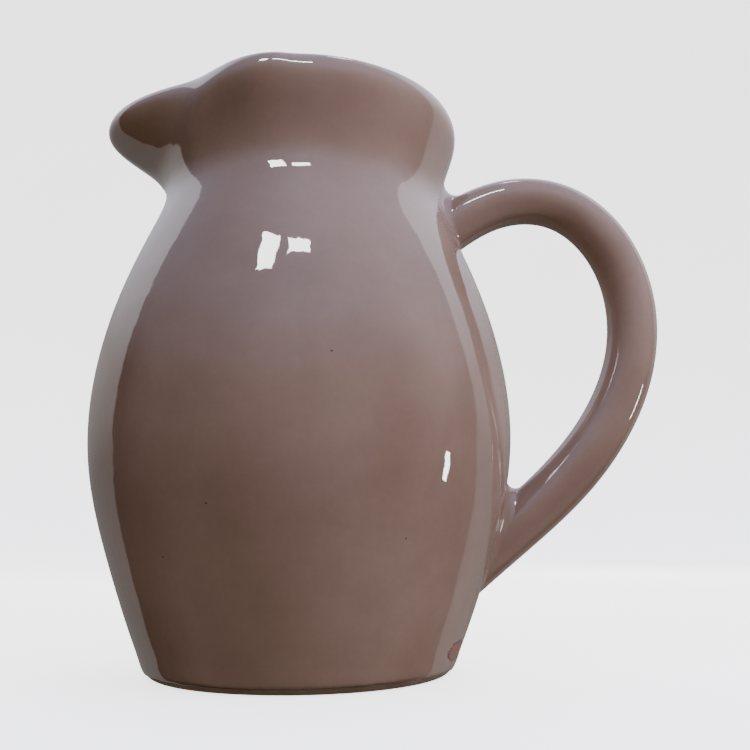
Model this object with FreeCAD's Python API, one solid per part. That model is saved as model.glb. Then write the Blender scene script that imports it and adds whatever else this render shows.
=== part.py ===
"""Glazed ceramic pitcher with a pulled spout and a luted loop handle.

Millimetres, +Z up.  The origin is the centre of the foot, on the surface the pitcher stands on.
The handle points along +X and the spout along -X, so the pitcher is symmetric about y = 0.

A clay vessel and a clay handle are luted together with slip at two joints.  A glassy coat covers
the outside of both, a second coat lines the inside and a third lies in the recess of the base.
"""

import FreeCAD
import Part
import math
import os

Vector = FreeCAD.Vector

# ---- driving dimensions -------------------------------------------------------------------------
HEIGHT = 200.0           # surface to the crest of the rim
WALL = 5.2               # clay and glaze together, measured square to the wall
FLOOR_TOP = 8.0          # height of the inside floor
GLAZE = 0.4              # thickness of every glaze coat
GLAZE_LINE = 2.2         # the outside glaze stops this far up, so the foot is bare clay
BARE_RADIUS = 60.0       # wider than the foot below that line

FOOT_RADIUS = 48.0       # outer edge of the flat ring that the pitcher stands on
RECESS_RADIUS = 42.0     # inner edge of that ring
RECESS_DEPTH = 2.5       # depth of the hollow inside the ring
RECESS_SLOPE = 1.5       # how much narrower the hollow is at its top
BASE_GLAZE_GAP = 0.5     # the glaze in the hollow stops this far from its side
RIM_RADIUS = 52.0        # where the rim is highest
LIP_RADIUS = 57.0        # control points of the wall below the lip stand at this radius
HANDLE_RADIUS = 9.2      # of the round handle's control points, glaze included

SPOUT_LOW = 175.0        # the wall starts to lean out into the spout at this height
SPOUT_LOW_INSIDE = 178.0   # the same on the inside
SPOUT_HIGH = 197.0       # and has its full reach from this height up
SPOUT_THROAT = 0.65      # width of the spout where it starts, as a part of its width at the rim

JOINT_SLIP = 1.0         # thickness of the slip between the handle's ends and the wall
JOINT_FILLET = 3.2       # radius of the slip smoothed into the corner around each end
JOINTS_APART_AT = 110.0  # a height between the two joints
NECK_TOP = 190.0         # a height above the upper one
JOINT_ROOM = (70.0, 60.0)  # size in x and y of a box that holds one joint
JOINT_ROOM_X = 30.0      # where that box starts in x

SECTIONS = 72            # even sections round the axis that carry each skin
HANDLE_SECTIONS = 24     # and round the handle
DEGREE = 3               # of every smooth curve and surface

# The wall's outside, from the edge of the foot to the crest of the rim, is the smooth curve of
# these control points: (radius, height).  Two at one radius hold the wall upright between them,
# at the belly, at the neck and below the lip.
OUTSIDE = [
    (FOOT_RADIUS, 0.0), (52.0, 0.0), (54.0, 7.0), (58.0, 16.0), (67.0, 42.0),
    (74.0, 68.0), (74.0, 96.0), (67.0, 126.0), (57.0, 150.0), (51.0, 163.0), (51.0, 172.0),
    (54.0, 182.0), (LIP_RADIUS, 190.0), (LIP_RADIUS, 196.0), (54.0, HEIGHT), (RIM_RADIUS, HEIGHT),
]
LIP_POINTS = 3           # the last points of OUTSIDE shape the rounded lip
FOOT_POINTS = 4          # and the first ones shape the foot

# Control points of the inside at the lip and at the corner of the floor.
INSIDE_LIP = [(RIM_RADIUS, HEIGHT), (50.0, HEIGHT), (49.6, 195.0)]
INSIDE_CORNER = [(53.5, 15.5), (48.5, FLOOR_TOP), (38.0, FLOOR_TOP)]

# Spout seen from above: (degrees from its middle, reach beyond the round rim).
SPOUT_OUTLINE = [
    (0.0, 20.0), (12.0, 16.0), (24.0, 9.0), (36.0, 2.0), (46.0, -2.0), (60.0, -1.5), (90.0, 0.0),
]

# Control points of the handle's middle line in the plane y = 0, from inside the neck over the top
# to inside the flank: (x, z).
HANDLE_LINE = [
    (44.0, 151.0), (60.0, 165.0), (82.0, 173.0), (105.0, 165.0), (120.0, 142.0),
    (122.0, 112.0), (110.0, 83.0), (88.0, 58.0), (64.0, 40.0), (44.0, 23.0),
]

# ---- outlines -----------------------------------------------------------------------------------
def directions(points):
    """Unit direction of an outline at each of its control points.

    The first two share one direction and so do the last two, because a smooth curve leaves its
    first control point towards the second.
    """
    found = []
    last = len(points) - 1
    for i in range(len(points)):
        before = points[0 if i < 2 else min(i - 1, last - 1)]
        after = points[last if i > last - 2 else max(i + 1, 1)]
        along = (after[0] - before[0], after[1] - before[1])
        length = math.hypot(*along)
        found.append((along[0] / length, along[1] / length))
    return found


def shifted(points, distance):
    """Control points moved square to their outline, to the left of its direction."""
    moved = []
    for (radius, height), (across, up) in zip(points, directions(points)):
        moved.append((radius - distance * up, height + distance * across))
    return moved


def outside_points(depth):
    """Control points of the outside, depth below the finished surface, still standing on z = 0."""
    points = shifted(OUTSIDE, depth)
    foot = [(radius - depth, 0.0) for radius, height in OUTSIDE[:2]]
    lip = [(radius, HEIGHT - depth) for radius, height in OUTSIDE[-2:]]
    return foot + points[2:-2] + lip


def inside_outline():
    """Control points of the finished inside, from the crest down to the flat of the floor."""
    wall = shifted(OUTSIDE, WALL)[FOOT_POINTS:-LIP_POINTS]
    return INSIDE_LIP + wall[::-1] + INSIDE_CORNER


def inside_points(depth):
    """Control points of the inside, depth below the finished surface."""
    outline = inside_outline()
    points = shifted(outline, depth)
    lip = [(radius, HEIGHT - depth) for radius, height in outline[:2]]
    floor = [(radius, FLOOR_TOP - depth) for radius, height in outline[-2:]]
    return lip + points[2:-2] + floor


# ---- spout --------------------------------------------------------------------------------------
def reach_curve():
    """Reach of the spout's outline as a smooth function of the angle from its middle."""
    curve = Part.BSplineCurve()
    curve.interpolate(
        Points=[Vector(reach, 0, 0) for angle, reach in SPOUT_OUTLINE],
        Parameters=[angle for angle, reach in SPOUT_OUTLINE],
    )
    return curve


REACH = reach_curve()


def spout_push(angle, height, low):
    """How far the wall moves outward, at degrees from the spout's middle and a height."""
    share = min(max((height - low) / (SPOUT_HIGH - low), 0.0), 1.0)
    share = share * share * (3.0 - 2.0 * share)
    width = SPOUT_THROAT + (1.0 - SPOUT_THROAT) * share
    turn = min(abs(angle) / width, SPOUT_OUTLINE[-1][0])
    return REACH.value(turn).x * share


# ---- skins --------------------------------------------------------------------------------------
def swell(sections):
    """How much further out the control points lie than the closed smooth curve inside them."""
    return 3.0 / (2.0 + math.cos(2.0 * math.pi / sections))


def smooth_face(rows):
    """Smooth surface of rows of control points; the rows follow each other round in a closed loop."""
    spans = len(rows[0]) - DEGREE
    surface = Part.BSplineSurface()
    surface.buildFromPolesMultsKnots(
        rows,
        [1] * (len(rows) + 1),
        [DEGREE + 1] + [1] * (spans - 1) + [DEGREE + 1],
        [float(knot) for knot in range(len(rows) + 1)],
        [float(knot) for knot in range(spans + 1)],
        True,
        False,
        DEGREE,
        DEGREE,
    )
    return surface.toShape()


def skin(points, finished, spout_low):
    """Surface of control points carried round the axis and pushed out at the spout.

    The push is that of the finished outline, so skins at any depth keep an even thickness.
    """
    rows = []
    for section in range(SECTIONS):
        from_spout = (360.0 * section / SECTIONS + 180.0) % 360.0 - 180.0
        around = math.pi + 2.0 * math.pi * section / SECTIONS
        row = []
        for (radius, height), (_, true_height) in zip(points, finished):
            push = spout_push(from_spout, true_height, spout_low)
            reach = (radius + push) * swell(SECTIONS)
            row.append(Vector(reach * math.cos(around), reach * math.sin(around), height))
        rows.append(row)
    return smooth_face(rows)


def outside_skin(depth):
    return skin(outside_points(depth), OUTSIDE, SPOUT_LOW)


def inside_skin(depth):
    return skin(inside_points(depth), inside_outline(), SPOUT_LOW_INSIDE)


def ring_edges(face):
    """The two closed edges of a skin, the lower one first."""
    rings = [edge for edge in face.Edges if edge.isClosed()]
    return sorted(rings, key=lambda edge: edge.BoundBox.ZMax)


def disc(edge):
    return Part.Face(Part.Wire([edge]))


def low_disc(face):
    """Flat face that closes a skin at its foot."""
    return disc(ring_edges(face)[0])


def closed_solid(faces):
    """One solid from faces that meet edge to edge."""
    shell = Part.Shell(faces)
    shell.sewShape()
    solid = Part.Solid(shell)
    if solid.Volume < 0:
        solid.reverse()
    return solid


# ---- clay and glaze as filled shapes ------------------------------------------------------------
def filled(depth):
    """Everything inside the outside skin, closed flat at the foot and at the crest of the rim."""
    outside = outside_skin(depth)
    return closed_solid([outside] + [disc(edge) for edge in ring_edges(outside)])


def handle_rod(depth):
    """Round rod along the handle's middle line, longer than the handle at both ends."""
    turns = [2.0 * math.pi * section / HANDLE_SECTIONS for section in range(HANDLE_SECTIONS)]
    square = directions(HANDLE_LINE)
    reach = (HANDLE_RADIUS - depth) * swell(HANDLE_SECTIONS)
    rows = []
    for turn in turns:
        row = []
        for (x, z), (across, up) in zip(HANDLE_LINE, square):
            out = reach * math.cos(turn)
            row.append(Vector(x - out * up, reach * math.sin(turn), z + out * across))
        rows.append(row)
    side = smooth_face(rows)
    return closed_solid([side] + [disc(edge) for edge in ring_edges(side)])


def joined(depth):
    """Filled vessel and handle as one shape, with the corners round the handle's ends filled."""
    whole = only_solid(filled(depth).fuse(handle_rod(depth)))
    corners = [edge for edge in whole.Edges if edge.isClosed() and edge.BoundBox.XMin > 0]
    return whole.makeFillet(JOINT_FILLET, corners)


def only_solid(shape):
    """The largest solid of a result, which leaves any sliver behind."""
    return max(shape.Solids, key=lambda solid: solid.Volume)


# ---- the pieces ---------------------------------------------------------------------------------
def recess_tool():
    """Shallow cone that hollows the underside inside the foot ring."""
    top = RECESS_RADIUS - RECESS_SLOPE
    below = Part.makeCylinder(RECESS_RADIUS, HEIGHT, Vector(0, 0, -HEIGHT))
    return below.fuse(Part.makeCone(RECESS_RADIUS, top, RECESS_DEPTH))


def vessel():
    """Clay wall, floor, foot, neck and spout, all one pot, hollowed under the floor."""
    outside = outside_skin(GLAZE)
    inside = inside_skin(GLAZE)
    pot = closed_solid([outside, inside, low_disc(outside), low_disc(inside)])
    return only_solid(pot.cut(recess_tool()))


def handle():
    """Clay handle, its ends cut to the wall with room left for the slip."""
    return only_solid(handle_rod(GLAZE).cut(filled(GLAZE - JOINT_SLIP)))


def joint_slip(low, high):
    """Slip under and round the end of the handle that meets the wall between two heights."""
    around = Part.makeBox(*JOINT_ROOM, high - low, Vector(JOINT_ROOM_X, -JOINT_ROOM[1] / 2, low))
    root = joined(GLAZE).common(around).cut(filled(GLAZE).common(around))
    return only_solid(root.cut(handle()))


def outer_glaze():
    """One coat over the outside of the vessel, the joints and the handle, from foot to crest."""
    coat = joined(0.0).cut(joined(GLAZE))
    clay_crest = ring_edges(outside_skin(GLAZE))[-1]
    mouth = disc(clay_crest).extrude(Vector(0, 0, HEIGHT))
    bare = Part.makeCylinder(BARE_RADIUS, GLAZE_LINE)
    return only_solid(coat.cut(mouth).cut(bare))


def liner_glaze():
    """Coat over the whole inside, meeting the outer glaze on the crest of the rim."""
    clay_side = inside_skin(GLAZE)
    free_side = inside_skin(0.0)
    crest = Part.makeRuledSurface(ring_edges(clay_side)[-1], ring_edges(free_side)[-1])
    return closed_solid([clay_side, free_side, low_disc(clay_side), low_disc(free_side), crest])


def base_glaze():
    """Coat on the roof of the recess."""
    radius = RECESS_RADIUS - RECESS_SLOPE - BASE_GLAZE_GAP
    return Part.makeCylinder(radius, GLAZE, Vector(0, 0, RECESS_DEPTH - GLAZE))


def main():
    os.makedirs("parts", exist_ok=True)
    pieces = {
        "vessel": vessel(),
        "handle": handle(),
        "upper_joint_slip": joint_slip(JOINTS_APART_AT, NECK_TOP),
        "lower_joint_slip": joint_slip(GLAZE_LINE, JOINTS_APART_AT),
        "outer_glaze": outer_glaze(),
        "liner_glaze": liner_glaze(),
        "base_glaze": base_glaze(),
    }
    for name, shape in pieces.items():
        shape.exportStep("parts/" + name + ".step")
        print(name, shape.ShapeType, shape.isValid(), round(shape.Volume / 1000.0, 2), "cm3")


main()
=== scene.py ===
"""Looks of the glazed ceramic pitcher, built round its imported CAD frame.

Metres, +Z up, the origin at the centre of the foot, the handle towards +X, the spout towards -X.
The clay nodes stay as the CAD made them.  The glaze is two fine smooth skins: one over the whole
pot, from the foot over the rim to the inside floor, and one over the handle and its joints.
"""

import math

import bmesh
import bpy
import numpy as np
from mathutils import Matrix, Vector, noise


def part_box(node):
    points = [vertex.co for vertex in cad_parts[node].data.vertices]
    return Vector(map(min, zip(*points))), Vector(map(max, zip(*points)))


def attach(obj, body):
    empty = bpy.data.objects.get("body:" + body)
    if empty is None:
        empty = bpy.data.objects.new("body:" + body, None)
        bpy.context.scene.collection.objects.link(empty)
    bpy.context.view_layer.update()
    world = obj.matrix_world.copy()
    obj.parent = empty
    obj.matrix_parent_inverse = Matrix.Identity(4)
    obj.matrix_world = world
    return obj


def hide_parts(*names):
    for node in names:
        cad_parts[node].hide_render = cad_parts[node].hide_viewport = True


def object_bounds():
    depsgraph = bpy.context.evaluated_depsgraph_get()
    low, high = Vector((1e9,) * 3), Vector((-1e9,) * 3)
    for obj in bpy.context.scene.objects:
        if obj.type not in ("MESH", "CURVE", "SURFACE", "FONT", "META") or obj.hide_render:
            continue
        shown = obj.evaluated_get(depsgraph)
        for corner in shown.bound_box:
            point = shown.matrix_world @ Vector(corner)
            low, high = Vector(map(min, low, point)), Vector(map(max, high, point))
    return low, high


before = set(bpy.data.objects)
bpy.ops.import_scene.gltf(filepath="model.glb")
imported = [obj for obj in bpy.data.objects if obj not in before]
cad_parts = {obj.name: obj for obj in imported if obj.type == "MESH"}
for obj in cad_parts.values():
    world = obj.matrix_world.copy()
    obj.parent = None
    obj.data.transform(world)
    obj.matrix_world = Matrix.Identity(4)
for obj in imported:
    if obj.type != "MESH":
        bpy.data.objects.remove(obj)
cad_low, cad_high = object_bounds()

MM = 0.001
HEIGHT = cad_high.z
GLAZE_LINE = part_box("outer_glaze")[0].z

# ---- the pot's outline, in millimetres: control points of smooth curves ---------------------------
CREST = HEIGHT / MM
WALL = 5.2
FLOOR_TOP = 8.0
RIM_RADIUS = 52.0
LIP_RADIUS = 57.0
OUTSIDE = [
    (48.0, 0.0), (52.0, 0.0), (54.0, 7.0), (58.0, 16.0), (67.0, 42.0),
    (74.0, 68.0), (74.0, 96.0), (67.0, 126.0), (57.0, 150.0), (51.0, 163.0), (51.0, 172.0),
    (54.0, 182.0), (LIP_RADIUS, 190.0), (LIP_RADIUS, 196.0), (54.0, CREST), (RIM_RADIUS, CREST),
]
LIP_POINTS = 3
FOOT_POINTS = 4
INSIDE_LIP = [(RIM_RADIUS, CREST), (50.0, CREST), (49.6, 195.0)]
INSIDE_CORNER = [(53.5, 15.5), (48.5, FLOOR_TOP), (38.0, FLOOR_TOP)]
# How far the wall stands out at the rim, by degrees from the middle of the spout.
SPOUT_OUTLINE = [
    (0.0, 20.0), (12.0, 16.0), (24.0, 9.0), (36.0, 2.0), (46.0, -2.0), (60.0, -1.5), (90.0, 0.0),
]
SPOUT_LOW = 175.0        # height where the spout begins on the outside
SPOUT_LOW_INSIDE = 178.0
SPOUT_HIGH = 197.0       # height where it is fully open
SPOUT_THROAT = 0.65      # its width at the bottom, as a part of its width at the top
SECTIONS = 72            # columns of control points round the pot

# Control points of the handle's middle line: (x, z).
HANDLE_LINE = [
    (44.0, 151.0), (60.0, 165.0), (82.0, 173.0), (105.0, 165.0), (120.0, 142.0),
    (122.0, 112.0), (110.0, 83.0), (88.0, 58.0), (64.0, 40.0), (44.0, 23.0),
]
HANDLE_RADIUS = 9.2
HANDLE_SECTIONS = 24     # rows of control points round the handle
JOINT_FILLET = (3.2, 4.6)  # rounding of the joints: on the hollow side, on the open side

# ---- how finely the skins are divided --------------------------------------------------------------
AROUND_POT = 288
ALONG_OUTSIDE = 210
ALONG_INSIDE = 84
AROUND_HANDLE = 96
ALONG_HANDLE = 260
FILLET_STEPS = 10
HANDLE_SAMPLES = 1200    # fine rows that the handle's even rows are taken from
WALL_SAMPLES = 1500      # and of the wall that it meets
NEAREST_STEPS = 6        # tries at the nearest place on the wall
FINENESS = 4             # fine rows for each row of the pot's outside
FOOT_ROWS = 60           # fine rows from the foot up, where the glaze's lower edge is looked for
FLOOR_RINGS = (0.8, 0.6, 0.4, 0.2)  # rings on the inside floor, as parts of its radius

# ---- surface detail, in metres ----------------------------------------------------------------------
GLAZE = 0.4 * MM         # thickness of the coat
EDGE_WAVE = 0.5 * MM     # how far the glaze's lower edge wanders up and down
RELIEF_DEPTH = 0.10 * MM  # slow waves in the surface
RELIEF_SIZE = 30 * MM
JOINT_TUCK = 0.3 * MM    # the joints' edges are hidden this far under the pot's skin
EDGE_RING = 7.0          # the edge's waves are read round a circle of this radius in the noise
EDGE_IN = 0.3            # where the rounded lower edge passes, as parts of the coat's thickness
EDGE_DOWN = 0.4


# ---- smooth curves ----------------------------------------------------------------------------------
def open_weights(poles, count):
    """Weights of the control points at even steps along a clamped smooth cubic curve."""
    spans = poles - 3
    knots = [0.0] * 4 + [float(i) for i in range(1, spans)] + [float(spans)] * 4
    rows = np.zeros((count, poles))
    for row, place in enumerate(np.linspace(0.0, spans - 1e-9, count)):
        basis = np.array([1.0 if a <= place < b else 0.0 for a, b in zip(knots, knots[1:])])
        for degree in range(1, 4):
            for i in range(len(knots) - 1 - degree):
                left = knots[i + degree] - knots[i]
                right = knots[i + degree + 1] - knots[i + 1]
                value = 0.0
                if left > 0:
                    value += (place - knots[i]) / left * basis[i]
                if right > 0:
                    value += (knots[i + degree + 1] - place) / right * basis[i + 1]
                basis[i] = value
        rows[row] = basis[:poles]
    return rows


def ring_weights(poles, count):
    """Weights of the control points at even steps round a closed smooth cubic curve."""
    rows = np.zeros((count, poles))
    for row, place in enumerate(np.arange(count) * poles / count):
        first = int(place)
        t = place - first
        shares = ((1 - t) ** 3, 3 * t**3 - 6 * t**2 + 4, -3 * t**3 + 3 * t**2 + 3 * t + 1, t**3)
        for step, share in enumerate(shares):
            rows[row, (first + step - 1) % poles] += share / 6.0
    return rows


def swell(sections):
    """How much further out the control points lie than the closed smooth curve inside them."""
    return 3.0 / (2.0 + math.cos(2.0 * math.pi / sections))


def directions(points):
    """Unit direction of an outline at each control point; its ends go straight out."""
    points = np.array(points, float)
    last = len(points) - 1
    before = [0 if i < 2 else min(i - 1, last - 1) for i in range(last + 1)]
    after = [last if i > last - 2 else max(i + 1, 1) for i in range(last + 1)]
    along = points[after] - points[before]
    return along / np.linalg.norm(along, axis=1)[:, None]


def shifted(points, distance):
    """Control points moved square to their outline, to the left of its direction."""
    along = directions(points)
    return np.array(points, float) + distance * np.stack([-along[:, 1], along[:, 0]], 1)


def end_slope(places, values):
    """Slope at the first place of the cubic through the first four points."""
    cubic = np.polyfit(places[:4], values[:4], 3)
    return float(np.polyval(np.polyder(cubic), places[0]))


def spline_through(table):
    """Smooth function through the rows (place, value) of a table, its curvature unbroken at each row."""
    places = np.array([row[0] for row in table])
    values = np.array([row[1] for row in table])
    spans = np.diff(places)
    rises = np.diff(values) / spans
    matrix = np.eye(len(table))
    known = np.zeros(len(table))
    known[0] = end_slope(places, values)
    known[-1] = end_slope(places[::-1], values[::-1])
    for i in range(1, len(table) - 1):
        before = 1.0 / spans[i - 1]
        after = 1.0 / spans[i]
        matrix[i, i - 1:i + 2] = (before, 2.0 * (before + after), after)
        known[i] = 3.0 * (rises[i - 1] * before + rises[i] * after)
    slopes = np.linalg.solve(matrix, known)

    def value(place):
        i = int(np.clip(np.searchsorted(places, place, "right") - 1, 0, len(places) - 2))
        t = (place - places[i]) / spans[i]
        start = (2 * t**3 - 3 * t**2 + 1) * values[i] + (t**3 - 2 * t**2 + t) * spans[i] * slopes[i]
        end = (3 * t**2 - 2 * t**3) * values[i + 1] + (t**3 - t**2) * spans[i] * slopes[i + 1]
        return start + end

    return value


spout_reach = spline_through(SPOUT_OUTLINE)


def spout_push(angle, height, low):
    """How far the wall moves outward, at degrees from the spout's middle and a height."""
    share = min(max((height - low) / (SPOUT_HIGH - low), 0.0), 1.0)
    share = share * share * (3.0 - 2.0 * share)
    width = SPOUT_THROAT + (1.0 - SPOUT_THROAT) * share
    return spout_reach(min(abs(angle) / width, SPOUT_OUTLINE[-1][0])) * share


# ---- the pot's skin ---------------------------------------------------------------------------------
def inside_outline():
    """Control points of the inside, from the rim down to the flat of the floor."""
    wall = shifted(OUTSIDE, WALL)[FOOT_POINTS:-LIP_POINTS]
    return INSIDE_LIP + [tuple(point) for point in wall[::-1]] + INSIDE_CORNER


def skin_points(outline, low, along):
    """Points of an outline carried round the axis and pushed out at the spout: [along, around, xyz]."""
    poles = np.zeros((SECTIONS, len(outline), 3))
    for section in range(SECTIONS):
        from_spout = (360.0 * section / SECTIONS + 180.0) % 360.0 - 180.0
        around = math.pi + 2.0 * math.pi * section / SECTIONS
        for i, (radius, height) in enumerate(outline):
            reach = (radius + spout_push(from_spout, height, low)) * swell(SECTIONS)
            poles[section, i] = (reach * math.cos(around), reach * math.sin(around), height)
    up = open_weights(len(outline), along)
    round_axis = ring_weights(SECTIONS, AROUND_POT)
    return np.einsum("rp,spa,ts->rta", up, poles, round_axis) * MM


# ---- grids of points: [along, around, xyz] ----------------------------------------------------------
def unit(vectors):
    return vectors / np.linalg.norm(vectors, axis=-1, keepdims=True)


def square_to(grid):
    """Unit normal at each point of a grid that is closed round its second axis."""
    around = np.roll(grid, -1, axis=1) - np.roll(grid, 1, axis=1)
    along = np.gradient(grid, axis=0)
    return unit(np.cross(around, along))


def resampled(grid, starts, ends, count):
    """Rows of a fine grid taken again, evenly from a start to an end row given for each column."""
    steps = np.linspace(0.0, 1.0, count)[:, None]
    place = starts[None, :] + steps * (ends - starts)[None, :]
    row = np.clip(place.astype(int), 0, len(grid) - 2)
    share = (place - row)[..., None]
    column = np.arange(grid.shape[1])[None, :]
    return grid[row, column] * (1.0 - share) + grid[row + 1, column] * share


def relief(points, normals, depth, size):
    """Points moved in and out by slow waves, as a hand-finished surface has them."""
    flat = points.reshape(-1, 3)
    waves = np.array([noise.noise(Vector(point) / size) for point in flat])
    return points + normals * (depth * waves.reshape(points.shape[:-1]))[..., None]


def grid_faces(rows, columns, first=0, flip=False):
    """Quads of a grid that is closed round its second axis."""
    faces = []
    for row in range(rows - 1):
        for column in range(columns):
            beside = (column + 1) % columns
            quad = [row * columns + column, row * columns + beside,
                    (row + 1) * columns + beside, (row + 1) * columns + column]
            quad = [first + corner for corner in quad]
            faces.append(quad[::-1] if flip else quad)
    return faces


def new_piece(name, points, faces, material, normals=None):
    """A smooth mesh object that rides on the pitcher's one body."""
    mesh = bpy.data.meshes.new(name)
    mesh.from_pydata(points.reshape(-1, 3).tolist(), [], faces)
    mesh.shade_smooth()
    if normals is not None:
        mesh.normals_split_custom_set_from_vertices(normals.reshape(-1, 3).tolist())
    mesh.materials.append(material)
    piece = bpy.data.objects.new(name, mesh)
    bpy.context.scene.collection.objects.link(piece)
    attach(piece, "root")
    return piece


# ---- the pot's glaze --------------------------------------------------------------------------------
def glaze_line_rows(outside):
    """Row of the fine outside grid where the glaze ends above the foot, for each column."""
    line = GLAZE_LINE + np.array([
        EDGE_WAVE * noise.noise(Vector((EDGE_RING * math.cos(turn), EDGE_RING * math.sin(turn), 0.0)))
        for turn in np.arange(AROUND_POT) * 2.0 * math.pi / AROUND_POT
    ])
    heights = outside[:, :, 2]
    return np.array([
        np.interp(line[column], heights[:FOOT_ROWS, column], np.arange(float(FOOT_ROWS)))
        for column in range(AROUND_POT)
    ])


def pot_glaze(material):
    """One coat from just above the foot, over the rim, down to the middle of the inside floor."""
    fine = skin_points(OUTSIDE, SPOUT_LOW, FINENESS * ALONG_OUTSIDE)
    last = np.full(AROUND_POT, len(fine) - 1.0)
    outside = resampled(fine, glaze_line_rows(fine), last, ALONG_OUTSIDE)
    inside = skin_points(inside_outline(), SPOUT_LOW_INSIDE, ALONG_INSIDE)
    floor = [inside[-1] * (share, share, 1.0) for share in FLOOR_RINGS]
    grid = np.concatenate([outside, inside[1:], floor])
    normals = square_to(grid)
    grid = relief(grid, normals, RELIEF_DEPTH, RELIEF_SIZE)
    edge = grid[0]
    rise = unit(grid[1] - grid[0])
    under = edge - normals[0] * GLAZE
    rounded = edge - normals[0] * EDGE_IN * GLAZE - rise * EDGE_DOWN * GLAZE
    grid = np.concatenate([[under, rounded], grid])
    rows = len(grid)
    middle = grid[-1].mean(axis=0)
    points = np.concatenate([grid.reshape(-1, 3), [middle]])
    faces = grid_faces(rows, AROUND_POT)
    ring = (rows - 1) * AROUND_POT
    centre = rows * AROUND_POT
    for column in range(AROUND_POT):
        faces.append([ring + column, ring + (column + 1) % AROUND_POT, centre])
    piece = new_piece("pot_glaze", points, faces, material)
    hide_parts("outer_glaze", "liner_glaze")


# ---- the handle's glaze -----------------------------------------------------------------------------
def wall_outline():
    """Fine outline of the wall where the handle meets it: (radius, height) and its outward normal."""
    outline = open_weights(len(OUTSIDE), WALL_SAMPLES) @ (np.array(OUTSIDE) * MM)
    along = unit(np.gradient(outline, axis=0))
    return outline, np.stack([along[:, 1], -along[:, 0]], 1)


def nearest_wall(points, outline, square):
    """Signed distance of points from the wall, and the wall's normal at the nearest place."""
    reach = np.hypot(points[..., 0], points[..., 1])
    height = points[..., 2]
    for _ in range(NEAREST_STEPS):
        radius = np.interp(height, outline[:, 1], outline[:, 0])
        out = np.interp(height, outline[:, 1], square[:, 0])
        up = np.interp(height, outline[:, 1], square[:, 1])
        distance = (reach - radius) * out + (points[..., 2] - height) * up
        height = points[..., 2] - distance * up
    around = points[..., :2] / reach[..., None]
    normal = np.concatenate([around * out[..., None], up[..., None]], axis=-1)
    return distance, unit(normal)


def handle_tube(along):
    """The handle's round skin from inside the neck to inside the flank."""
    line = np.array(HANDLE_LINE)
    square = directions(line)
    poles = np.zeros((HANDLE_SECTIONS, len(line), 3))
    for section in range(HANDLE_SECTIONS):
        turn = 2.0 * math.pi * section / HANDLE_SECTIONS
        reach = HANDLE_RADIUS * swell(HANDLE_SECTIONS)
        out = reach * math.cos(turn)
        poles[section, :, 0] = line[:, 0] - out * square[:, 1]
        poles[section, :, 1] = reach * math.sin(turn)
        poles[section, :, 2] = line[:, 1] + out * square[:, 0]
    up = open_weights(len(line), along)
    return np.einsum("rp,spa,ts->rta", up, poles, ring_weights(HANDLE_SECTIONS, AROUND_HANDLE)) * MM


def joint_arc(tube_normal, wall_normal, centre, radius):
    """Rounded corner between the tube and the wall: the path of a ball that touches both."""
    cosine = np.clip((tube_normal * wall_normal).sum(axis=1), -1.0, 1.0)
    angle = np.arccos(cosine)[:, None]
    points = []
    normals = []
    for share in np.linspace(0.0, 1.0, FILLET_STEPS + 1):
        blend = (np.sin((1.0 - share) * angle) * tube_normal + np.sin(share * angle) * wall_normal)
        normal = blend / np.sin(angle)
        normals.append(normal)
        points.append(centre - radius[:, None] * normal)
    return np.array(points), np.array(normals)


def joint_radius(turn):
    """Rounding of a joint at each direction round the handle, where zero is its outer side."""
    hollow, opened = JOINT_FILLET
    return (hollow + (opened - hollow) * (0.5 + 0.5 * np.cos(turn))) * MM


def touching_rows(gap, at_start):
    """Rows of the tube where the rolling ball touches the wall at one end, for each column."""
    half = HANDLE_SAMPLES // 2
    rows = np.zeros(AROUND_HANDLE)
    for column in range(AROUND_HANDLE):
        track = gap[:, column]
        if at_start:
            row = np.nonzero(track[:half] < 0)[0][-1]
        else:
            row = half + np.nonzero(track[half:] < 0)[0][0] - 1
        rows[column] = row + track[row] / (track[row] - track[row + 1])
    return rows


def joint_corner(end, end_normals, radius, outline, square):
    """Rounded corner from one end of the handle into the wall, tucked under the pot's skin."""
    centre = end + end_normals * radius[:, None]
    wall_normal = nearest_wall(centre, outline, square)[1]
    points, normals = joint_arc(end_normals, wall_normal, centre, radius)
    hidden = points[-1] - wall_normal * JOINT_TUCK
    points = np.concatenate([points[1:], [hidden]])
    normals = np.concatenate([normals[1:], [wall_normal]])
    return points, normals


def handle_glaze(material):
    """The coat over the handle, widened at both ends into the wall of the pot."""
    outline, square = wall_outline()
    tube = handle_tube(HANDLE_SAMPLES)
    normals = -square_to(tube)
    radius = joint_radius(np.arange(AROUND_HANDLE) * 2.0 * math.pi / AROUND_HANDLE)
    balls = tube + normals * radius[None, :, None]
    gap = nearest_wall(balls, outline, square)[0] - radius[None, :]
    starts = touching_rows(gap, True)
    ends = touching_rows(gap, False)
    body = resampled(tube, starts, ends, ALONG_HANDLE)
    body_normals = unit(resampled(normals, starts, ends, ALONG_HANDLE))
    upper, upper_normals = joint_corner(body[0], body_normals[0], radius, outline, square)
    lower, lower_normals = joint_corner(body[-1], body_normals[-1], radius, outline, square)
    grid = np.concatenate([upper[::-1], body, lower])
    smooth = np.concatenate([upper_normals[::-1], body_normals, lower_normals])
    grid = relief(grid, smooth, RELIEF_DEPTH, RELIEF_SIZE)
    faces = grid_faces(len(grid), AROUND_HANDLE, flip=True)
    piece = new_piece("handle_glaze", grid, faces, material, smooth)
    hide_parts("outer_glaze")


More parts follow.
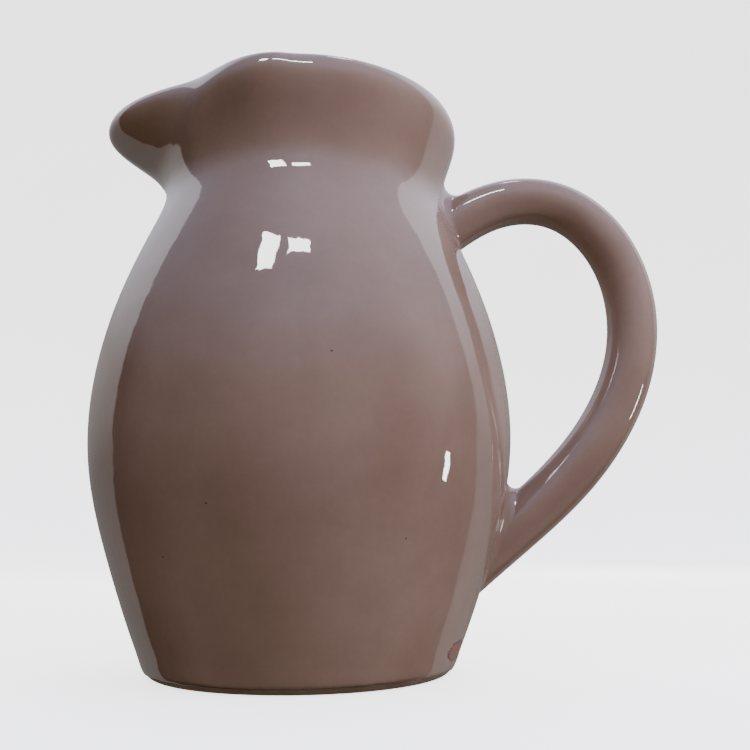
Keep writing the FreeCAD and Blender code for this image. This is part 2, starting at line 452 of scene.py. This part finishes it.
# ---- materials --------------------------------------------------------------------------------------
class Nodes:
    """Short way to add and join shader nodes in one material or world."""

    def __init__(self, owner):
        owner.use_nodes = True
        self.tree = owner.node_tree
        self.tree.nodes.clear()

    def add(self, kind, settings=None, **inputs):
        """A node with settings for its properties and values or sockets for its inputs."""
        made = self.tree.nodes.new(kind)
        for name, value in (settings or {}).items():
            setattr(made, name, value)
        for name, value in inputs.items():
            key = int(name[1:]) if name[0] == "_" else name.replace("_", " ")
            socket = made.inputs[key]
            if isinstance(value, bpy.types.NodeSocket):
                self.tree.links.new(value, socket)
            else:
                socket.default_value = value
        return made

    def ramp(self, factor, *stops):
        """A colour ramp; each stop is (place, grey) or (place, colour)."""
        made = self.add("ShaderNodeValToRGB", _0=factor)
        elements = made.color_ramp.elements
        while len(elements) < len(stops):
            elements.new(1.0)
        for element, (place, tone) in zip(elements, stops):
            element.position = place
            element.color = (tone,) * 3 + (1.0,) if isinstance(tone, float) else tone
        return made.outputs["Color"]

    def noise(self, place, size, detail=2.0, roughness=0.5):
        """Cloudy pattern whose features are about size metres across."""
        made = self.add("ShaderNodeTexNoise", Vector=place, Scale=1.0 / size, Detail=detail,
                        Roughness=roughness)
        return made.outputs["Fac"]

    def mix(self, factor, first, second, blend="MIX"):
        made = self.add("ShaderNodeMix", {"data_type": "RGBA", "blend_type": blend},
                        _0=factor, _6=first, _7=second)
        return made.outputs[2]

    def bump(self, height, distance, strength=1.0, normal=None):
        inputs = {"Height": height, "Distance": distance, "Strength": strength}
        if normal is not None:
            inputs["Normal"] = normal
        return self.add("ShaderNodeBump", **inputs).outputs["Normal"]

    def finish(self, shader):
        self.add("ShaderNodeOutputMaterial", Surface=shader.outputs[0])


def colour(red, green, blue):
    return (red, green, blue, 1.0)


GLAZE_LIGHT = colour(0.228, 0.153, 0.118)
GLAZE_DARK = colour(0.184, 0.118, 0.088)
# painted shade: the dark brown of a ragged band along the glaze's lower edge, at the foot
FOOT_SHADE_BROWN = colour(0.075, 0.045, 0.032)
# dark brown of the iron specks and the chip's rim; the same colour is also painted as shade in the lower
# joint's crotch
SPECK_AND_SHADE = colour(0.035, 0.022, 0.018)
CHIP = colour(0.20, 0.10, 0.065)
CHIP_TURN = math.radians(-20.0)  # round the foot from the handle's side, towards the front
CHIP_HEIGHT = 9.0 * MM
CHIP_SIZE = (14.0 * MM, 14.0 * MM, 6.5 * MM)
# place and size of the painted shade in the crotch where the handle's lower joint meets the pot
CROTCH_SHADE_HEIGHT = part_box("lower_joint_slip")[1].z
CROTCH_SHADE_SIZE = (3.0 * MM, 7.0 * MM, 3.5 * MM)
FOOT_SHADE_HEIGHT = 1.2 * MM     # height of the band of painted shade along the glaze's lower edge
FOOT_SHADE_NOISE = 3 * MM
PATCH_NOISE = 2.5 * MM   # the noise that makes the chip and the painted shade in the joint's crotch ragged, and how much
PATCH_RAGGED = 0.8
CLOUD_SIZE = 45 * MM
MOTTLE_SIZE = 2.2 * MM
SPECK_SPACING = 7 * MM
SMEAR_SIZE = 18 * MM
GLOSS = (0.012, 0.045)   # roughness of the glaze, from clean to smeared
BARE_ROUGHNESS = colour(0.8, 0.8, 0.8)  # where the glaze is chipped off
GLAZE_IOR = 1.52
WAVY = (22 * MM, 0.25 * MM)  # size and depth of the glaze's waves, ripple and fine peel
RIPPLE = (8 * MM, 0.07 * MM)
PEEL = (1.6 * MM, 0.003 * MM)
CLAY_DARK = colour(0.14, 0.09, 0.065)
CLAY_LIGHT = colour(0.21, 0.145, 0.105)
CLAY_ROUGHNESS = (0.75, 0.92)
CLAY_CLOUD_SIZE = 12 * MM
CLAY_GRAIN = (0.6 * MM, 0.06 * MM)  # size and depth of its sand


def on_wall(turn, height):
    """Point of the pot's outside at an angle from the handle and a height."""
    outline = wall_outline()[0]
    radius = float(np.interp(height, outline[:, 1], outline[:, 0]))
    return (radius * math.cos(turn), radius * math.sin(turn), height)


def painted_foot_shade(nodes, place):
    """How much painted shade darkens the glaze in a ragged band along its lower edge."""
    height = nodes.add("ShaderNodeSeparateXYZ", Vector=place).outputs["Z"]
    ragged = nodes.add("ShaderNodeMath", {"operation": "MULTIPLY_ADD"},
                       _0=nodes.noise(place, FOOT_SHADE_NOISE, 4.0, 0.7), _1=-FOOT_SHADE_HEIGHT,
                       _2=height).outputs[0]
    return nodes.add("ShaderNodeMapRange", Value=ragged, From_Min=GLAZE_LINE - 0.5 * FOOT_SHADE_HEIGHT,
                     From_Max=GLAZE_LINE + 0.5 * FOOT_SHADE_HEIGHT, To_Min=1.0, To_Max=0.0).outputs[0]


def patch(nodes, place, middle, size):
    """Distance from the middle of a patch, as a part of its size, made ragged by noise."""
    away = nodes.add("ShaderNodeVectorMath", {"operation": "SUBTRACT"}, _0=place, _1=middle)
    away = nodes.add("ShaderNodeVectorMath", {"operation": "DIVIDE"}, _0=away.outputs[0], _1=size)
    away = nodes.add("ShaderNodeVectorMath", {"operation": "LENGTH"}, _0=away.outputs[0])
    return nodes.add("ShaderNodeMath", {"operation": "MULTIPLY_ADD"},
                     _0=nodes.noise(place, PATCH_NOISE, 5.0, 0.7), _1=PATCH_RAGGED,
                     _2=away.outputs["Value"]).outputs[0]


def glaze_material():
    """Glossy taupe glaze: clouds, fine mottling, iron specks, painted shade along the lower edge and in
    the lower joint's crotch, a chip and a wavy skin.
    """
    material = bpy.data.materials.new("brown_glaze")
    nodes = Nodes(material)
    place = nodes.add("ShaderNodeTexCoord").outputs["Object"]
    cloud = nodes.ramp(nodes.noise(place, CLOUD_SIZE, 3.0), (0.35, 0.0), (0.65, 1.0))
    body = nodes.mix(cloud, GLAZE_DARK, GLAZE_LIGHT)
    fine = nodes.ramp(nodes.noise(place, MOTTLE_SIZE, 4.0, 0.6), (0.3, 0.97), (0.7, 1.03))
    body = nodes.mix(1.0, body, fine, "MULTIPLY")
    cells = nodes.add("ShaderNodeTexVoronoi", Vector=place, Scale=1.0 / SPECK_SPACING)
    dot = nodes.ramp(cells.outputs["Distance"], (0.03, 1.0), (0.055, 0.0))
    chance = nodes.add("ShaderNodeSeparateColor", Color=cells.outputs["Color"]).outputs[0]
    chosen = nodes.ramp(chance, (0.93, 0.0), (0.935, 1.0))
    specks = nodes.mix(1.0, dot, chosen, "MULTIPLY")
    body = nodes.mix(specks, body, SPECK_AND_SHADE)
    # painted shade: a dark ragged band along the glaze's lower edge
    body = nodes.mix(painted_foot_shade(nodes, place), body, FOOT_SHADE_BROWN)
    # painted shade: the crotch of the lower joint darkened in the specks' colour
    crotch_shade = patch(nodes, place, on_wall(0.0, CROTCH_SHADE_HEIGHT), CROTCH_SHADE_SIZE)
    body = nodes.mix(nodes.ramp(crotch_shade, (0.6, 0.8), (1.0, 0.0)), body, SPECK_AND_SHADE)
    chip = patch(nodes, place, on_wall(CHIP_TURN, CHIP_HEIGHT), CHIP_SIZE)
    body = nodes.mix(nodes.ramp(chip, (0.90, 1.0), (0.94, 0.0)), body, SPECK_AND_SHADE)
    bare = nodes.ramp(chip, (0.82, 1.0), (0.86, 0.0))
    body = nodes.mix(bare, body, CHIP)
    smear = nodes.noise(place, SMEAR_SIZE, 4.0, 0.65)
    roughness = nodes.add("ShaderNodeMapRange", Value=smear, From_Min=0.3, From_Max=0.8,
                          To_Min=GLOSS[0], To_Max=GLOSS[1]).outputs[0]
    roughness = nodes.mix(bare, roughness, BARE_ROUGHNESS)
    wavy = nodes.bump(nodes.noise(place, WAVY[0], 1.0), WAVY[1])
    ripple = nodes.bump(nodes.noise(place, RIPPLE[0], 2.0), RIPPLE[1], normal=wavy)
    peel = nodes.bump(nodes.noise(place, PEEL[0], 2.0), PEEL[1], normal=ripple)
    shader = nodes.add("ShaderNodeBsdfPrincipled", Base_Color=body, Roughness=roughness,
                       Normal=peel, IOR=GLAZE_IOR)
    nodes.finish(shader)
    return material


def clay_material():
    """Bare fired clay: warm, dull and slightly sandy."""
    material = bpy.data.materials.new("fired_clay")
    nodes = Nodes(material)
    place = nodes.add("ShaderNodeTexCoord").outputs["Object"]
    cloud = nodes.ramp(nodes.noise(place, CLAY_CLOUD_SIZE, 5.0), (0.3, 0.0), (0.7, 1.0))
    body = nodes.mix(cloud, CLAY_DARK, CLAY_LIGHT)
    grain = nodes.noise(place, CLAY_GRAIN[0], 5.0, 0.7)
    body = nodes.mix(1.0, body, nodes.ramp(grain, (0.3, 0.8), (0.7, 1.1)), "MULTIPLY")
    roughness = nodes.add("ShaderNodeMapRange", Value=cloud, To_Min=CLAY_ROUGHNESS[0],
                          To_Max=CLAY_ROUGHNESS[1]).outputs[0]
    shader = nodes.add("ShaderNodeBsdfPrincipled", Base_Color=body, Roughness=roughness,
                       Normal=nodes.bump(grain, CLAY_GRAIN[1]))
    nodes.finish(shader)
    return material


def stage_material():
    """Plain pale paper with an even glow that keeps it bright under the soft shadow."""
    material = bpy.data.materials.new("pale_stage")
    nodes = Nodes(material)
    place = nodes.add("ShaderNodeTexCoord").outputs["Object"]
    tone = nodes.ramp(nodes.noise(place, 0.3, 2.0), (0.3, 0.79), (0.7, 0.81))
    nodes.finish(nodes.add("ShaderNodeBsdfPrincipled", Base_Color=tone, Roughness=0.9,
                           Emission_Color=tone, Emission_Strength=STAGE_GLOW))
    return material


# ---- stage, lights and camera -----------------------------------------------------------------------
STAGE_MIDDLE = 0.3       # radius of the one flat face under the pitcher
STAGE_FLAT = 1.2         # radius of the flat floor
STAGE_BEND = 1.6         # radius of the bend up into the wall
STAGE_WALL = 3.5         # height of the wall
STAGE_STEPS = 12         # rows of faces in the bend
STAGE_SIDES = 96
STAGE_GLOW = 3.0         # light that the paper gives off by itself

CAMERA_PLACE = (25.97, -314.03, 42.3)  # in millimetres
CAMERA_TILT = 10.99      # degrees up from level
CAMERA_ROLL = -0.31      # degrees
CAMERA_LENS = 42.17      # in millimetres, on a sensor this wide
SENSOR = 36.0

MIDDLE = (0.0, 0.0, 0.5 * HEIGHT)  # what the lamps are aimed at
WHITE = (1.0, 1.0, 1.0)
COOL = (0.9, 0.95, 1.3)
WARM = (1.2, 1.0, 0.8)

# The room's light by direction, as stops of (value, strength).  Up is -1 below, 0 level and 1
# overhead; right and behind are the same towards the handle's side and away from the front.
# The ceiling, the front wall, the floor's bounce and the screen go by up, the dimmer by right, and
# what is in front and the screen's depth by behind.
CEILING = ((-1.0, 0.0), (0.3, 0.0), (0.7, 2.0), (1.0, 2.0))
FRONT_WALL = ((-1.0, 0.0), (-0.4, 0.1), (0.3, 0.8), (0.8, 0.0), (1.0, 0.0))
FLOOR_BOUNCE = ((-1.0, 0.5), (-0.5, 0.2), (-0.3, 0.0), (1.0, 0.0))
IN_FRONT = ((-1.0, 1.0), (-0.2, 1.0), (0.2, 0.0), (1.0, 0.0))
DIMMER = ((-1.0, 0.4), (0.0, 0.8), (1.0, 0.6))
SCREEN = ((-1.0, 0.4), (0.0, 0.5), (0.6, 1.6), (0.8, 1.6), (1.0, 0.0))
SCREEN_DEPTH = ((-1.0, 0.0), (0.3, 0.0), (0.32, 1.0), (1.0, 0.3))
SCREEN_SLANT = 0.5       # how much further back the screen's edges stand for a way that looks down


def stage(material):
    """Round pale floor that bends up into a wall on every side."""
    outline = [(STAGE_MIDDLE, 0.0), (STAGE_FLAT, 0.0)]
    for step in range(1, STAGE_STEPS + 1):
        turn = step * math.pi / (2 * STAGE_STEPS)
        outline.append((STAGE_FLAT + STAGE_BEND * math.sin(turn),
                        STAGE_BEND * (1.0 - math.cos(turn))))
    outline.append((STAGE_FLAT + STAGE_BEND, STAGE_WALL))
    built = bmesh.new()
    rings = []
    for radius, height in outline:
        ring = []
        for side in range(STAGE_SIDES):
            turn = 2.0 * math.pi * side / STAGE_SIDES
            ring.append(built.verts.new((radius * math.cos(turn), radius * math.sin(turn), height)))
        rings.append(ring)
    built.faces.new(rings[0])
    for low, high in zip(rings, rings[1:]):
        for side in range(STAGE_SIDES):
            beside = (side + 1) % STAGE_SIDES
            built.faces.new((low[side], high[side], high[beside], low[beside]))
    for face in built.faces:
        face.smooth = True
    mesh = bpy.data.meshes.new("stage")
    built.to_mesh(mesh)
    built.free()
    mesh.materials.append(material)
    floor = bpy.data.objects.new("stage", mesh)
    bpy.context.scene.collection.objects.link(floor)
    floor.visible_glossy = False
    floor.visible_diffuse = False
    floor.visible_shadow = False


def softbox(name, azimuth, elevation, distance, size, glow, tint=WHITE):
    """Soft lamp at an azimuth round the pitcher: 0 is in front, 90 is on the handle's side.

    It looks at the pitcher's middle.  The glow is how bright its face is, whatever its size.
    """
    around = math.radians(azimuth)
    up = math.radians(elevation)
    away = Vector((math.sin(around) * math.cos(up), -math.cos(around) * math.cos(up), math.sin(up)))
    lamp = bpy.data.lights.new(name, "AREA")
    lamp.shape = "RECTANGLE"
    lamp.size, lamp.size_y = size
    lamp.energy = math.pi * size[0] * size[1] * glow
    lamp.color = tint
    holder = bpy.data.objects.new(name, lamp)
    holder.location = Vector(MIDDLE) + away * distance
    holder.rotation_mode = "QUATERNION"
    holder.rotation_quaternion = away.to_track_quat("Z", "Y")
    holder.visible_camera = False
    bpy.context.scene.collection.objects.link(holder)
    return holder


def room_light():
    """Lamps that shade the pitcher but are not mirrored in it."""
    lamps = [
        softbox("key", 40, 35, 0.7, (0.4, 0.4), 3, COOL),
        softbox("side", 90, 0, 1.2, (0.8, 1.0), 3, WHITE),
        softbox("handle_side", 60, 20, 0.35, (0.15, 0.15), 6, COOL),
        softbox("back_left", -160, 40, 1.2, (1.0, 0.8), 3, WHITE),
        softbox("back_right", 150, 20, 1.2, (1.0, 0.8), 3, WARM),
    ]
    for lamp in lamps:
        lamp.visible_glossy = False


def window_light():
    """Small bright windows that are mirrored as white highlights and give hardly any other light."""
    panes = [
        softbox("window_left", -24, 53, 1.4, (0.20, 0.22), 60),
        softbox("window_middle", 0, 56, 1.4, (0.26, 0.10), 60),
        softbox("window_right", 83, -9, 1.2, (0.06, 0.17), 60),
        softbox("window_rim", 150, 75, 1.2, (0.12, 0.12), 12),
    ]
    for pane in panes:
        pane.visible_diffuse = False


def camera():
    """The camera of the reference view: low, in front, tipped up and a hair off level."""
    lens = bpy.data.cameras.new("camera")
    lens.sensor_width = SENSOR
    lens.lens = CAMERA_LENS
    lens.clip_start = 0.01
    holder = bpy.data.objects.new("camera", lens)
    tip = Matrix.Rotation(math.radians(90.0 + CAMERA_TILT), 4, "X")
    roll = Matrix.Rotation(math.radians(CAMERA_ROLL), 4, "Z")
    holder.matrix_world = Matrix.Translation(Vector(CAMERA_PLACE) * MM) @ tip @ roll
    bpy.context.scene.collection.objects.link(holder)
    bpy.context.scene.camera = holder


class Studio(Nodes):
    """The light that surrounds the pitcher, painted by direction."""

    def __init__(self):
        bpy.context.scene.world = bpy.data.worlds.new("studio")
        super().__init__(bpy.context.scene.world)
        way = self.add("ShaderNodeTexCoord").outputs["Generated"]
        level = self.add("ShaderNodeVectorMath", {"operation": "MULTIPLY"}, _0=way, _1=(1.0, 1.0, 0.0))
        level = self.add("ShaderNodeVectorMath", {"operation": "NORMALIZE"}, _0=level.outputs[0])
        level = self.add("ShaderNodeSeparateXYZ", Vector=level.outputs[0])
        self.up = self.add("ShaderNodeSeparateXYZ", Vector=way).outputs["Z"]
        self.right = level.outputs["X"]
        self.behind = level.outputs["Y"]
        self.total = None

    def calculate(self, operation, *values):
        inputs = {"_%d" % place: value for place, value in enumerate(values)}
        return self.add("ShaderNodeMath", {"operation": operation}, **inputs).outputs[0]

    def curve(self, value, *stops):
        """Number that runs straight from stop to stop of (value, number), for values from -1 to 1."""
        share = self.add("ShaderNodeMapRange", Value=value, From_Min=-1.0, From_Max=1.0)
        made = self.add("ShaderNodeFloatCurve", Value=share.outputs[0])
        made.mapping.use_clip = False
        points = made.mapping.curves[0].points
        while len(points) < len(stops):
            points.new(0.5, 0.5)
        for point, (place, number) in zip(points, stops):
            point.location = (0.5 + 0.5 * place, number)
            point.handle_type = "VECTOR"
        made.mapping.update()
        return made.outputs[0]

    def shine(self, tint, *factors):
        """Adds light of one colour, as strong as the product of some numbers."""
        strength = factors[0]
        for factor in factors[1:]:
            strength = self.calculate("MULTIPLY", strength, factor)
        light = self.add("ShaderNodeBackground", Color=tint, Strength=strength)
        if self.total is not None:
            light = self.add("ShaderNodeAddShader", _0=self.total.outputs[0], _1=light.outputs[0])
        self.total = light


def studio():
    """Soft room: a cool ceiling, a warm wall in front, and one pale screen round the back.

    The screen is brightest at its two ends, and their edges are mirrored down the pitcher's sides.
    """
    room = Studio()
    dimmer = room.curve(room.right, *DIMMER)
    room.shine(colour(*COOL), room.curve(room.up, *CEILING), dimmer)
    in_front = room.curve(room.behind, *IN_FRONT)
    room.shine(colour(*WARM), room.curve(room.up, *FRONT_WALL), in_front, dimmer)
    room.shine(colour(*WARM), room.curve(room.up, *FLOOR_BOUNCE), in_front)
    dip = room.calculate("MINIMUM", room.up, 0.0)
    depth = room.calculate("MULTIPLY_ADD", dip, SCREEN_SLANT, room.behind)
    room.shine(colour(*WHITE), room.curve(room.up, *SCREEN), room.curve(depth, *SCREEN_DEPTH))
    room.add("ShaderNodeOutputWorld", Surface=room.total.outputs[0])


glaze = glaze_material()
clay = clay_material()
for name in ("vessel", "handle", "upper_joint_slip", "lower_joint_slip"):
    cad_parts[name].data.materials.clear()
    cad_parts[name].data.materials.append(clay)
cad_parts["base_glaze"].data.materials.clear()
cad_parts["base_glaze"].data.materials.append(glaze)
pot_glaze(glaze)
handle_glaze(glaze)
stage(stage_material())
studio()
room_light()
window_light()
camera()
